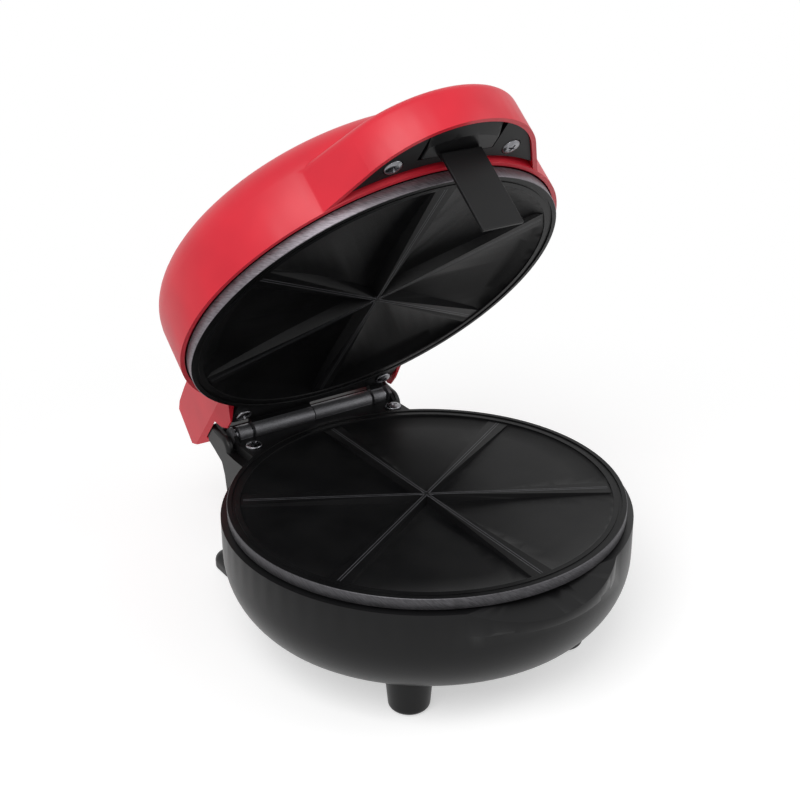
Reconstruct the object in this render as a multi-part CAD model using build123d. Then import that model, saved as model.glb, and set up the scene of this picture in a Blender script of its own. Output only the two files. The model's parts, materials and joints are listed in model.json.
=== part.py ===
from build123d import *
from math import asin, cos, hypot, pi, radians, sin, sqrt, tan
import os

# A round countertop quesadilla maker: a black base bowl with the lower wedge plate,
# a red domed lid with the upper plate, hinged on a steel pin at the rear, and a
# strap latch that hangs from the lid's handle.
#
# All pieces are drawn closed, in millimetres, with the axis of the round plates as Z
# and the rim of the lower plate at Z = 0.  -Y is the front, with the handle, +X right.
# At the end the lid is opened and everything moves to the row's origin, in the middle
# of the footprint on the surface that the feet stand on.

# ---------------------------------------------------------------- driving dimensions

# Cooking plates
plate_r = 110.0            # outside of the machined rim band
rim_gap = 2.0              # between the two plate rims, closed
band_height = 6.1          # visible machined band
land_width = 2.7           # flat outer land of the rim
groove_width = 1.9
groove_depth = 0.8
ridge_width = 2.7
ridge_drop = 0.4           # ridge under the rim
rib_drop = 1.2             # rib tops under the rim
rib_count = 6
rib_width = 1.5            # at the top
rib_draft = 14.0           # degrees
wall_run = 2.2             # sloped wall between ridge and floor, in plan
floor_drop_outer = 2.05    # lower floor under the rim, at its outer edge
floor_drop_hub = 5.7       # lower floor under the rim, at the hub
scoop_depth = 6.4          # upper wedge scoops, at mid wedge
scoop_wall = 25.0          # slope of the upper scoops' outer walls, degrees
plate_depth = 11.0         # rim to back of the casting
body_step = 6.5            # the casting behind the band is this much smaller
plate_body_r = plate_r - body_step
hub_r = 2.6

# Hinge axis
open_angle = 50.0          # lid angle at rest, from closed
full_angle = 80.0          # lid angle at its stop
hinge_back = 16.0          # from the rim band to the hinge axis
hinge_y = plate_r + hinge_back
hinge_z = -1.0             # against the lower rim

# Hinge barrels and pin
barrel_r = 5.3
barrel_clearance = 0.7
barrel_half = 41.5         # the two long barrels end here
barrel_gap = 0.6           # between the long barrels, at the middle
knuckle_r = 5.0
knuckle_gap = 2.0          # from the long barrels
knuckle_length = 8.5
knuckle_in = barrel_half + knuckle_gap
knuckle_out = knuckle_in + knuckle_length
pin_r = 2.2
pin_clearance = 0.05
pin_play = 0.25            # along the axis
pin_head_r = 3.4
pin_head_thick = 1.2

# Hinge flange of each plate
pin_room = 2.5             # between the outer knuckles and the cheeks
cheek_thick = 2.0          # upright side walls of the lower flange
cheek_length = 9.5         # from the front of the cheek to the hinge axis
flange_half = knuckle_out + pin_room + cheek_thick
flange_length = 40.0
flange_end_y = hinge_y - barrel_r - barrel_clearance
flange_front_y = flange_end_y - flange_length
flange_drop = 2.7          # flange face behind the rim plane
flange_thick = 6.1
flange_corner = 4.0
flange_seat = 0.2          # under the lower flange

# Base arms, beside the hinge, and the wall behind it
arm_gap = 1.9              # from the flange's side to the arm
arm_thick = 4.0
arm_in = flange_half + arm_gap
arm_out = arm_in + arm_thick
arm_round = 9.0            # radius of the arm's round front
arm_centre_back = 1.1      # centre of that round, behind the hinge axis
arm_centre_drop = 7.0      # and under it
arm_top = arm_round - arm_centre_drop  # its top, over the hinge axis
arm_heel = 13.0            # the arm's highest corner, behind the axis
arm_heel_top = arm_top + 2.5
arm_edge = 3.0             # round of the arm's outer edges
arm_clearance = 0.6        # to the lid block that goes round it
slot_bevel = 3.6           # on the rim of the slot in that block
arm_low = -40.0            # the arms end inside the rear block here
wall_top = [(0, -7.2), (5, -3.4), (10, 1.4), (16, 1.4)]  # from the hinge axis: back, up
wall_back = [(19.2, -2.6), (18, -7.9), (10.2, -11.6), (1.5, -16.1), (-1.4, -23.7), (-2.8, -32.6)]
wall_bend = 1.6

# Base bowl
bowl_margin = 3.7          # outside the plate's band
bowl_r = plate_r + bowl_margin
bowl_gap = 0.9             # shadow gap under the band
bowl_top = -band_height - bowl_gap
bowl_belly = -28.0         # the wall starts to curve in here
bowl_curve = 11.2          # how far it curves in
bowl_foot_r = bowl_r - bowl_curve
bowl_foot_z = -56.0
bowl_floor_r = bowl_r - 34.7
bowl_floor_z = -62.0
shell = 2.5                # moulded wall
rim_play = 2.0             # round the casting
rim_lip_r = plate_body_r + rim_play
rear_half = arm_out        # half width of the rear block
rear_y = hinge_y - 2.0
rear_depth = 64.0          # the block starts inside the bowl
rear_start_y = rear_y - rear_depth
rear_top = -flange_drop - flange_thick - flange_seat
rear_floor = -66.0
rear_corner = 5.0

# Front catch lip
lip_half = 50.0
lip_reach = 7.3            # most forward point, from the bowl
lip_y = -bowl_r - lip_reach
lip_start_y = -bowl_r + 12.2
lip_slope_y = -bowl_r + 10.2
lip_slope = 0.43
lip_under = -19.5

# Bottom cover
cover_r = bowl_floor_r - 15.0
cover_ledge = 6.0
cover_thick = 2.2
cover_gap = 0.3
cover_screw_r = cover_r - 3.0
cover_screws = 4
cover_post = 9.0           # height of each screw post over the cover
vent_count = 5
vent_width = 3.0
vent_length = 44.0
vent_pitch = 9.0

# Feet
stand_z = -85.5            # the surface it stands on
foot_angle = 48.85         # of the front feet, from the side, degrees
foot_x = bowl_floor_r * cos(radians(foot_angle))
foot_y = -bowl_floor_r * sin(radians(foot_angle))
foot_r = 11.0              # at the ground
foot_root_r = 13.5         # under the bowl
foot_round = 3.2
foot_flare = 7.0           # round flare into the bowl
foot_flare_low = 1.5       # it starts this far under the bowl's floor
heel_out = 0.4             # its middle stands outside the block's side
heel_x = rear_half + heel_out
heel_y = rear_y - 9.0
heel_length = 27.0
heel_width = 21.5
heel_corner = 8.0
heel_stem = 5.0            # half width of the stem under the block
heel_stem_depth = 6.0      # and half its depth
heel_screw_x = rear_half - heel_stem - 0.4
heel_screw_y = rear_y - 16.0
heel_top = -75.0
heel_round = 5.5
heel_edge = 1.5            # round of its lower edge
pad_r = 6.5
pad_thick = 2.0
pad_proud = 0.5
pad_play = 0.1             # round the pad, in its pocket
foot_seat = 3.5            # room for the screw's head, over the pad
foot_grip = 6.0            # how far the foot's screw reaches into the housing
foot_boss = 10.0           # height of its boss in the housing
boss_floor = 1.0           # left solid at the end of each screw hole

# Lid housing
skirt_margin = 3.4         # outside the plate's band
skirt_r = plate_r + skirt_margin
skirt_gap = 0.2            # behind the upper band
skirt_bottom = rim_gap + band_height + skirt_gap
skirt_height = 26.0        # of the straight side
skirt_top = skirt_bottom + skirt_height
shoulder_r = 21.6          # radius of the round shoulder
shoulder_turn = 80.0       # how far round it goes before the crown, degrees
crown_rise = 6.1
dome_top = skirt_top + shoulder_r + crown_rise
block_wall = 1.8
block_in = arm_in - arm_clearance
block_half = arm_out + arm_clearance + block_wall
block_top_z = skirt_top + 12.7
block_start_y = hinge_y - 44.0
block_back = 37.4          # furthest point behind the hinge axis
block_reach = 34.0         # length of the lower face, from the hinge axis
block_slope_y = hinge_y - 14.0
block_bottom_z = rim_gap + 0.3
block_face_angle = 23.0    # lower face, from the hinge axis, degrees
block_crease_z = 13.0
block_crease_in = 6.0
hood_y = hinge_y - 3.5
hood_top = block_top_z - 11.0
hood_gap = 0.1             # over the upper flange

# Handle visor
visor_r = 57.0
visor_y = -skirt_r + 21.9  # centre of the visor's front arc
visor_flare_y = -skirt_r - 6.6
visor_bottom = skirt_bottom + 0.3
visor_height = 23.4        # at the front
visor_front_top = visor_bottom + visor_height
visor_slope = 0.09         # the top rises towards the lid
visor_round = 6.0
crease_r = 5.0             # hollow corner where the visor's sides meet the skirt
crease_bite = 0.05         # its end dips under the skirt's surface

# Handle insert
insert_thick = 2.5
insert_gap = 0.3
insert_recess = 1.4
insert_bottom = visor_bottom + insert_recess
insert_inner_r = skirt_r + 3.1
insert_screw_x = 35.0
insert_screw_y = -skirt_r - 5.1
insert_screw_sink = 1.0    # the heads lie this deep in the insert
insert_screw_length = 9.0
insert_boss_r = 4.0
ear_thick = 2.4
ear_width = 7.0

# Latch
latch_y = -skirt_r - 13.1  # pivot
latch_z = insert_bottom + 4.0
latch_pin_r = 1.5
strap_half = 12.0
strap_outer_y = latch_y + 0.1
strap_thick = 2.0
strap_top = visor_bottom - 0.2
strap_bottom = -37.0
neck_step = 1.2
tab_half = 21.0
tab_centre_y = visor_y + 4.5  # of the round front edges
tab_low_r = 48.5
tab_rim_r = 58.0
tab_rim_z = latch_z - 2.0
tab_play = 0.8             # to the inside of the visor's wall
tab_back_y = latch_y + 4.3
tab_bottom = insert_bottom - 0.8
tab_top = latch_z + 3.5
hook_top = lip_under - 1.1
hook_depth = 3.0
hook_height = 5.0
hook_half = 8.0
spring_wire_r = 0.5
spring_play = 0.2          # round the latch pin
spring_turns = 4
spring_pitch = 2.2
spring_room_half = 5.5
window_play = 1.5          # round the finger tab
insert_window_half = tab_half + window_play
insert_window_front = visor_y - visor_r - 1.5
insert_window_back = tab_back_y + 1.2

# Fasteners
screw_head_r = 5.0
screw_head_h = 2.2
screw_slot = 1.0           # width of the cross recess
screw_slot_depth = 0.8
screw_r = 1.9
screw_play = 0.15
screw_boss_h = 12.0        # height of the bosses for the plates' screws
screw_bite = 9.0           # how far those screws reach into them
flange_screw_x = knuckle_out - 2.5
lower_screw_y = hinge_y - 16.8
upper_screw_y = hinge_y - 14.3
boss_r = 4.6
screw_boss_back = 0.5      # the lower bosses stand this far nearer the front

# Heating
element_r = plate_r - 42.0
element_tube_r = 3.3
element_gap_angle = 50.0   # open part of the ring, at the rear
element_leg = 12.0
leg_play = 1.0             # round each cold end, in the pan
pin_terminal_r = 1.3
terminal_length = 8.0
seat_gap = 0.05            # pieces that rest on each other
pan_r = plate_body_r - 5.5
pan_thick = 0.7
pan_rim = 5.0
post_r = 5.0
post_ring_r = pan_r - 12.0
post_count = 3
post_tap = 3.0             # the screw holes end this far inside the casting
pan_screw_length = 8.0
thermostat_r = 8.0
thermostat_body_r = 11.0
thermostat_body_h = 6.0
thermostat_play = 0.4      # round its nose, in the pan
thermostat_tab = 7.0       # length of its two tabs
fuse_r = 2.2
fuse_length = 14.0
fuse_ring_r = 40.0
fuse_wire_r = 0.5
saddle_half = 2.0          # clip that holds the fuse to the pan
saddle_depth = 1.4

# Mains entry
gland_z = -48.0
gland_r = 6.5
gland_bore_r = 3.6
gland_flange_r = 9.0
gland_flange_h = 2.5
gland_depth = 9.0
gland_play = 0.1           # in the wall's hole
gland_nut_r = 9.5
gland_nut_h = 4.0
block_length = 34.0
block_depth = 14.0
block_height = 11.0
terminal_y = rear_y - 32.0
wire_pitch = 10.0
wire_height = 6.0          # wire entries above the floor
clamp_r = 2.2              # clamp screw shafts
clamp_floor = 7.0          # they end this far above the floor
lead_r = 1.3
lead_bend = 6.0

# Pilot lamps on the lid
lamp_x = 9.0
lamp_y = -skirt_r + 39.4
lamp_r = 3.4
lamp_gap = 0.15
lamp_proud = 1.0
lamp_length = 9.0
lamp_round = 0.8
lamp_collar = 1.6          # width of the collar under the lid's wall
lamp_collar_h = 2.0


# ------------------------------------------------------------------------- helpers

def cylinder(radius, z_low, z_high, x=0.0, y=0.0):
    """Upright cylinder between two heights."""
    return Pos(x, y, (z_low + z_high) / 2) * Cylinder(radius, z_high - z_low)


def box(x_low, x_high, y_low, y_high, z_low, z_high):
    size = Box(x_high - x_low, y_high - y_low, z_high - z_low)
    return Pos((x_low + x_high) / 2, (y_low + y_high) / 2, (z_low + z_high) / 2) * size


def turned(outline):
    """Solid of revolution about Z from a closed outline of edges in radius and height."""
    return revolve(Plane.XZ * make_face(outline), Axis.Z)


def turned_polygon(*points):
    return turned(Polyline(*points, close=True))


def side_prism(points, x_low, x_high):
    """Polygon of (y, z) points, from x_low to x_high."""
    face = Plane.YZ.offset(x_low) * make_face(Polyline(*points, close=True))
    return extrude(face, x_high - x_low)


def plan_prism(outline, z_low, z_high):
    """Closed outline of edges in plan, from z_low to z_high."""
    return extrude(Plane.XY.offset(z_low) * make_face(outline), z_high - z_low)


def cross_cylinder(radius, x_low, x_high, y, z):
    """Cylinder along X."""
    middle = Pos((x_low + x_high) / 2, y, z)
    return middle * Rot(0, 90, 0) * Cylinder(radius, x_high - x_low)


def behind_hinge(*points):
    """Side-view points given from the hinge axis, backwards and upwards."""
    return [(hinge_y + back, hinge_z + up) for back, up in points]


def both_sides(solid):
    return solid + mirror(solid, Plane.YZ)


def to_upper(solid):
    """Mirror a piece of the lower half into the closed lid."""
    return mirror(solid, Plane.XY.offset(rim_gap / 2))


def one(shape):
    """The single solid of a result, so that no empty remains are exported."""
    solids = shape.solids()
    if len(solids) != 1:
        found = [(round(solid.volume), solid.bounding_box()) for solid in solids]
        raise ValueError(f"expected one solid, got {found}")
    return solids[0]


def group(shapes):
    """Separate solids in one node."""
    return Compound(children=[one(shape) for shape in shapes])


# -------------------------------------------------------------------- cooking plates

land_r = plate_r - land_width
groove_r = land_r - groove_width
ridge_r = groove_r - ridge_width
floor_r = ridge_r - wall_run
flange_low = -flange_drop - flange_thick


def plate_blank():
    """Rim band, land, groove and ridge, filled up to the rib tops."""
    edge = 0.3
    return turned_polygon(
        (0, -plate_depth), (plate_body_r, -plate_depth), (plate_body_r, -band_height),
        (plate_r, -band_height), (plate_r, -edge), (plate_r - edge, 0), (land_r, 0),
        (land_r, -groove_depth), (groove_r, -groove_depth), (groove_r, -ridge_drop),
        (ridge_r, -ridge_drop), (ridge_r, -rib_drop), (0, -rib_drop))


def wedge(angle):
    """Space between two ribs, drafted, open upwards."""
    half = pi / rib_count
    apex = rib_width / 2 / sin(half)
    reach = plate_r / cos(half)
    corner = reach * sin(half)
    triangle = Polyline((apex, 0), (reach, corner), (reach, -corner), close=True)
    top = Plane.XY.offset(-rib_drop) * make_face(triangle)
    below = extrude(top, -plate_depth, taper=rib_draft)
    return Rot(0, 0, angle) * (below + extrude(top, rib_drop))


def dish():
    """Lower plate: shallow cone that is deepest at the hub."""
    return turned_polygon(
        (0, 0), (ridge_r, 0), (ridge_r, -rib_drop), (floor_r, -floor_drop_outer),
        (0, -floor_drop_hub))


def scoop():
    """Upper plate: round-bottomed trough along the wedge, with a sloped outer wall."""
    half_chord = ridge_r * sin(pi / rib_count)
    radius = (half_chord ** 2 + scoop_depth ** 2) / (2 * scoop_depth)
    trough = cross_cylinder(radius, -plate_r, plate_r, 0, radius - rib_drop - scoop_depth)
    deep = scoop_depth + rib_drop
    bowl = turned_polygon(
        (0, 0), (ridge_r, 0), (ridge_r, -rib_drop),
        (ridge_r - scoop_depth / tan(radians(scoop_wall)), -deep), (0, -deep))
    return trough & bowl


def cooking_plate(cut):
    """Casting of one plate without its barrels; cut(angle) is one wedge's hollow."""
    flange = box(-flange_half, flange_half, flange_front_y, flange_end_y, flange_low, -flange_drop)
    rear = [edge for edge in flange.edges().filter_by(Axis.Z) if edge.center().Y > flange_front_y + 1]
    flange = fillet(rear, flange_corner)
    clear = cylinder(ridge_r, -plate_depth, 0)
    plate = plate_blank() + (flange - clear)
    for index in range(rib_count):
        plate -= cut(index * 360 / rib_count)
    plate += cylinder(hub_r, -plate_depth, -rib_drop + 0.2)
    for x, y in post_places():
        plate += cylinder(post_r, pan_top, -plate_depth, x, y)
        plate -= cylinder(screw_r + screw_play, pan_top - 1, -plate_depth + post_tap, x, y)
    return plate


def barrel(radius, x_low, x_high, web):
    """Hinge barrel on its web; web is a list of (y, z) points."""
    return side_prism(web, x_low, x_high) + cross_cylinder(radius, x_low, x_high, hinge_y, hinge_z)


def pin_bore():
    return cross_cylinder(pin_r + pin_clearance, -knuckle_out - 1, knuckle_out + 1, hinge_y, hinge_z)


pan_top = -plate_depth - 2 * seat_gap - 2 * element_tube_r

lower_web = [
    (flange_end_y - 4, flange_low), (hinge_y - 2, flange_low + 1.2),
    (hinge_y, hinge_z - 1), (hinge_y - 2.5, -flange_drop), (flange_end_y - 4, -flange_drop)]
cheek_front = hinge_y - cheek_length

upper_face = rim_gap + flange_drop
upper_web = [
    (flange_end_y - 4, upper_face), (flange_end_y + 1.5, upper_face),
    (flange_end_y + 1.5, hinge_z), (hinge_y, hinge_z), (hinge_y + 3.5, hinge_z + 2.5),
    (flange_end_y + 2, upper_face + flange_thick - 1.5),
    (flange_end_y - 4, upper_face + flange_thick - 1.5)]


def flange_holes(y, z_low, z_high):
    return both_sides(cylinder(screw_r + screw_play, z_low, z_high, flange_screw_x, y))


def cheek():
    """Upright side wall at the end of the lower flange, round about the pin."""
    outline = [
        ThreePointArc((hinge_y, hinge_z + barrel_r), (hinge_y + barrel_r, hinge_z),
                      (hinge_y, hinge_z - barrel_r)),
        Polyline((hinge_y, hinge_z - barrel_r), (hinge_y - 2, flange_low + 1.2),
                 (cheek_front, flange_low + 1), (cheek_front, -flange_drop),
                 (hinge_y - barrel_r, hinge_z + 2), (hinge_y, hinge_z + barrel_r))]
    wall = extrude(Plane.YZ.offset(flange_half - cheek_thick) * make_face(outline), cheek_thick)
    return both_sides(wall)


def lower_plate():
    solid = cooking_plate(lambda angle: wedge(angle) & dish()) + cheek()
    solid += barrel(barrel_r, barrel_gap / 2, barrel_half, lower_web)
    solid += barrel(knuckle_r, -knuckle_out, -knuckle_in, lower_web)
    return one(solid - pin_bore() - flange_holes(lower_screw_y, flange_low - 1, 0))


def upper_plate():
    casting = cooking_plate(lambda angle: wedge(angle) & (Rot(0, 0, angle) * scoop()))
    solid = to_upper(casting)
    solid += barrel(barrel_r, -barrel_half, -barrel_gap / 2, upper_web)
    solid += barrel(knuckle_r, knuckle_in, knuckle_out, upper_web)
    high = upper_face + flange_thick + 1
    return one(solid - pin_bore() - flange_holes(upper_screw_y, rim_gap, high))


def hinge_pin():
    """Steel pin, with a head formed at each end."""
    end = knuckle_out + pin_play
    rod = cross_cylinder(pin_r, -end, end, hinge_y, hinge_z)
    head = cross_cylinder(pin_head_r, end, end + pin_head_thick, hinge_y, hinge_z)
    return one(rod + both_sides(head))


# -------------------------------------------------------------- heating, either half

def heating_element():
    """Tubular heater: an open ring with its two cold ends turned down."""
    centre_z = -plate_depth - seat_gap - element_tube_r
    section = Plane.XZ * Pos(element_r, centre_z) * Circle(element_tube_r)
    ring = revolve(section, Axis.Z, 360 - element_gap_angle)
    ring = Rot(0, 0, 90 + element_gap_angle / 2) * ring
    leg_end = centre_z - element_leg
    for x, y in leg_places():
        ring += Pos(x, y, centre_z) * Sphere(element_tube_r)
        ring += cylinder(element_tube_r, leg_end, centre_z, x, y)
        ring += cylinder(pin_terminal_r, leg_end - terminal_length, leg_end, x, y)
    return one(ring)


def heat_pan():
    """Thin reflector dish that clamps the element against the plate."""
    low = pan_top - pan_thick
    pan = turned_polygon(
        (0, pan_top), (pan_r - pan_thick, pan_top), (pan_r - pan_thick, pan_top + pan_rim),
        (pan_r, pan_top + pan_rim), (pan_r, low), (0, low))
    for x, y in leg_places():
        pan -= cylinder(element_tube_r + leg_play, low - 1, pan_top + 1, x, y)
    for x, y in post_places():
        pan -= cylinder(screw_r + screw_play, low - 1, pan_top + 1, x, y)
    return one(pan - cylinder(thermostat_r + thermostat_play, low - 1, pan_top + 1))


def leg_places():
    """Where the heater's two cold ends turn away from the plate."""
    angles = [radians(90 + side * element_gap_angle / 2) for side in (-1, 1)]
    return [(element_r * cos(angle), element_r * sin(angle)) for angle in angles]


def post_places():
    angles = [radians(90 + index * 360 / post_count) for index in range(post_count)]
    return [(post_ring_r * cos(angle), post_ring_r * sin(angle)) for angle in angles]


def pan_screws():
    under = pan_top - pan_thick
    return [screw(x, y, under, -1, pan_screw_length) for x, y in post_places()]


def thermostat():
    """Bimetal thermostat: its nose passes the pan and touches the plate."""
    low = pan_top - pan_thick
    nose = cylinder(thermostat_r, low, -plate_depth - seat_gap)
    body = cylinder(thermostat_body_r, low - thermostat_body_h, low)
    end = low - thermostat_body_h
    tab = box(-1.0, 1.0, thermostat_r - 3, thermostat_r, end - thermostat_tab, end)
    return one(nose + body + tab + mirror(tab, Plane.XZ))


def thermal_fuse():
    """Fuse body in its sleeve, lying between the plate and the pan."""
    centre_z = -plate_depth - seat_gap - fuse_r
    body = cross_cylinder(fuse_r, -fuse_length / 2, fuse_length / 2, -fuse_ring_r, centre_z)
    wire = cross_cylinder(fuse_wire_r, -fuse_length, fuse_length, -fuse_ring_r, centre_z)
    saddle = box(-saddle_half, saddle_half, -fuse_ring_r - saddle_depth, -fuse_ring_r + saddle_depth,
                 pan_top + seat_gap, centre_z)
    return one(body + wire + saddle)


def screw(x, y, seat_z, side, length):
    """Pan-head screw; side +1 has its head above the seat, -1 below."""
    head = cylinder(screw_head_r, 0, screw_head_h)
    head = fillet(head.edges().group_by(Axis.Z)[-1], screw_head_h * 0.45)
    slot = Box(screw_slot, screw_head_r, 2 * screw_slot_depth)
    cross = slot + Rot(0, 0, 90) * slot
    solid = head + cylinder(screw_r, -length, 0) - Pos(0, 0, screw_head_h) * cross
    if side < 0:
        solid = Rot(180, 0, 0) * solid
    return Pos(x, y, seat_z) * solid


# ----------------------------------------------------------------------------- base

def bowl_outline(inset, top, top_r, floor_r_low, floor_z):
    """Half section of the bowl, moved inwards by inset, closed on the axis."""
    belly = (bowl_r - inset, bowl_belly)
    foot = (bowl_foot_r - inset, bowl_foot_z + inset * 0.6)
    curve = TangentArc(belly, foot, tangent=(0, -1))
    straight = Polyline(foot, (floor_r_low, floor_z), (0, floor_z), (0, top), (top_r, top), belly)
    return [curve, straight]


def bowl_outer():
    return turned(bowl_outline(0, bowl_top, bowl_r, bowl_floor_r, bowl_floor_z))


def bowl_inner():
    floor_z = bowl_floor_z + shell + cover_thick
    return turned(bowl_outline(shell, bowl_top - shell, bowl_r - shell, bowl_floor_r, floor_z))


def rear_wall():
    """Full-width wall that curves up and back behind the hinge."""
    neck = side_prism(
        [(rear_y - 20, rear_top), (flange_end_y, rear_top)] + behind_hinge(*wall_top, *wall_back)
        + [(rear_y - 2, arm_low), (rear_y - 20, arm_low)], -arm_out, arm_out)
    bends = [edge for edge in neck.edges().filter_by(Axis.X) if edge.center().Y > rear_y + 1]
    return fillet(bends, wall_bend)


def arms():
    """Arm with a round front and a rising top at each end of the wall, inside the lid's blocks."""
    centre_y, centre_z = hinge_y + arm_centre_back, hinge_z - arm_centre_drop
    disc = cross_cylinder(arm_round, arm_in, arm_out, centre_y, centre_z)
    disc = fillet(disc.faces().sort_by(Axis.X)[-1].edges(), arm_edge)
    root = side_prism(
        [(rear_y - 14, rear_top), (hinge_y - 8, rear_top + 0.6), (centre_y, centre_z),
         (centre_y, centre_z + arm_round)] + behind_hinge((arm_heel, arm_heel_top), *wall_back)
        + [(rear_y - 2, arm_low), (rear_y - 14, arm_low)], arm_in, arm_out)
    top = [edge for edge in root.faces().sort_by(Axis.X)[-1].edges()
           if edge.center().Z > hinge_z + arm_top]
    return both_sides(disc + fillet(top, arm_edge))


def swing_space(inset):
    """Room in the lid's blocks for the arms, from closed to fully open."""
    play = arm_clearance + inset
    radius = hypot(*wall_back[1]) + play
    x_low, x_high = arm_in - play, arm_out + play
    full = radians(full_angle)
    round_hinge = cross_cylinder(radius, x_low, x_high, hinge_y, hinge_z)
    # Ahead of this corner the arms never reach, not even at the lid's stop.
    corner = arm_heel * cos(full) - arm_heel_top * sin(full) - play
    low = arm_top + play
    ahead = side_prism(behind_hinge(
        (-radius, low), (corner - slot_bevel, low), (corner, low + slot_bevel), (corner, radius),
        (-radius, radius)), x_low, x_high)
    return both_sides(round_hinge - ahead)


def rear_outer():
    block = box(-rear_half, rear_half, rear_start_y, rear_y, rear_floor, rear_top)
    rear = [edge for edge in block.edges().filter_by(Axis.Z) if edge.center().Y > rear_y - 1]
    block = fillet(rear, rear_corner)
    column = box(heel_screw_x - heel_stem, rear_half, heel_screw_y - 12, rear_y - 3, heel_top, rear_floor)
    return block + both_sides(column)


def rear_inner():
    cavity = box(-rear_half + shell, rear_half - shell, rear_start_y, rear_y - shell,
                 rear_floor + shell, rear_top - shell)
    rear = [edge for edge in cavity.edges().filter_by(Axis.Z) if edge.center().Y > rear_y - shell - 1]
    return fillet(rear, rear_corner - shell)


def lip_prism(z_low, z_high, inner_r):
    """Crescent in front of the bowl, between inner_r and the lip's front arc."""
    sagitta = lip_start_y - lip_y
    front_r = (lip_half ** 2 + sagitta ** 2) / (2 * sagitta)
    disc = cylinder(front_r, z_low, z_high, 0, lip_y + front_r)
    keep = box(-lip_half, lip_half, lip_y - 1, lip_start_y + 21, z_low, z_high)
    return (disc & keep) - cylinder(inner_r, z_low - 1, z_high + 1)


def lip_slope_cutter():
    """Everything above the lip's sloped top."""
    reach = 30.0
    low = bowl_top - lip_slope * reach
    return side_prism(
        [(lip_slope_y, bowl_top), (lip_slope_y - reach, low), (lip_slope_y - reach, 5),
         (lip_slope_y, 5)], -lip_half - 20, lip_half + 20)


def catch_lip():
    """Ledge that the latch hooks under, hollowed from below."""
    lip = lip_prism(lip_under, bowl_top, rim_lip_r)
    relief = lip_prism(lip_under - 1, lip_under + 2, bowl_r + 3)
    return lip - lip_slope_cutter() - (relief & cylinder(bowl_r + 5.2, lip_under - 1, lip_under + 2))


def base_envelope():
    return bowl_outer() + rear_outer()


def base_housing():
    """Bowl, rear block, arms and catch lip in one moulding."""
    outer = base_envelope() + rear_wall() + arms()
    slope = lip_slope_cutter() - cylinder(rim_lip_r, bowl_floor_z, plate_depth)
    inner = bowl_inner() + rear_inner()
    body = outer - inner + (catch_lip() - inner_keep()) - slope
    body -= cylinder(rim_lip_r, bowl_top - shell - 1, bowl_top + 1)
    body -= cylinder(plate_body_r + 0.6, -plate_depth - 1, 1)
    body -= box(-arm_in, arm_in, flange_front_y, hinge_y + 2, rear_top, 10)
    body -= cross_cylinder(barrel_r + barrel_clearance, -arm_in, arm_in, hinge_y, hinge_z)
    body -= cylinder(cover_r - cover_ledge, rear_floor - 5, bowl_floor_z + 10)
    body -= cylinder(cover_r, bowl_floor_z - 9, bowl_floor_z + cover_thick)
    for side in (-1, 1):
        x = side * flange_screw_x
        low = rear_top - screw_boss_h - boss_floor
        body += cylinder(boss_r, low, rear_top, x, lower_screw_y - screw_boss_back) & rear_outer()
        body -= cylinder(screw_r + screw_play, low + boss_floor, rear_top + 1, x, lower_screw_y)
    for x, y in cover_screw_places():
        seat = bowl_floor_z + cover_thick
        body += cylinder(boss_r, seat, seat + cover_post, x, y)
        body -= cylinder(screw_r + screw_play, bowl_floor_z, seat + cover_post - boss_floor, x, y)
    for x, y, top in foot_bosses():
        body += cylinder(boss_r, top, top + foot_boss, x, y) & base_envelope()
        body -= cylinder(screw_r + screw_play, stand_z, top + foot_boss - boss_floor, x, y)
    body -= Pos(0, rear_y, gland_z) * Rot(90, 0, 0) * Cylinder(gland_r + gland_play, 4 * shell)
    return one(body)


def inner_keep():
    """Space of the plate casting behind the rim, kept free of the lip's filling."""
    return cylinder(rim_lip_r, bowl_floor_z, 0)


def cover_screw_places():
    angles = [radians(45 + index * 360 / cover_screws) for index in range(cover_screws)]
    return [(cover_screw_r * cos(angle), cover_screw_r * sin(angle)) for angle in angles]


def base_bottom_cover():
    """Round cover with vent slots, let into the underside."""
    cover = cylinder(cover_r - cover_gap, bowl_floor_z, bowl_floor_z + cover_thick)
    for index in range(vent_count):
        x = (index - (vent_count - 1) / 2) * vent_pitch
        slot = SlotOverall(vent_length, vent_width)
        cut = extrude(Plane.XY.offset(bowl_floor_z - 1) * Pos(x, 0) * Rot(0, 0, 90) * slot, 10)
        cover -= cut
    for x, y in cover_screw_places():
        cover -= cylinder(screw_r + screw_play, bowl_floor_z - 1, bowl_floor_z + 5, x, y)
    return one(cover)


def foot_bosses():
    """Where each foot is screwed to the housing: x, y and the floor's height there."""
    front = bowl_floor_z
    rear = rear_floor
    return [(-foot_x, foot_y, front), (foot_x, foot_y, front),
            (-heel_screw_x, heel_screw_y, rear), (heel_screw_x, heel_screw_y, rear)]


def foot_bore(x, y):
    """Screw hole, with a pocket for the head and the rubber pad."""
    floor = stand_z + pad_proud
    pocket = cylinder(pad_r + pad_play, floor - 1, floor + pad_thick + foot_seat, x, y)
    return pocket + cylinder(screw_r + screw_play, floor, bowl_foot_z, x, y)


def front_foot(side):
    """Tapered round leg that fits the underside of the bowl."""
    floor = stand_z + pad_proud
    low = bowl_floor_z - foot_flare_low
    root = low + foot_flare
    leg = Pos(0, 0, (floor + root) / 2) * Cone(foot_r, foot_root_r, root - floor)
    leg = fillet(leg.edges().group_by(Axis.Z)[0], foot_round)
    inner = foot_r + (foot_root_r - foot_r) * (low - floor) / (root - floor) - 0.1
    outer = inner + foot_flare
    middle = (outer - foot_flare * cos(pi / 4), low + foot_flare * sin(pi / 4))
    flare = [ThreePointArc((inner, low), middle, (outer, root)),
             Polyline((outer, root), (0, root), (0, low), (inner, low))]
    solid = Pos(side * foot_x, foot_y) * (leg + turned(flare))
    return one(solid - base_envelope() - foot_bore(side * foot_x, foot_y))


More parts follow.
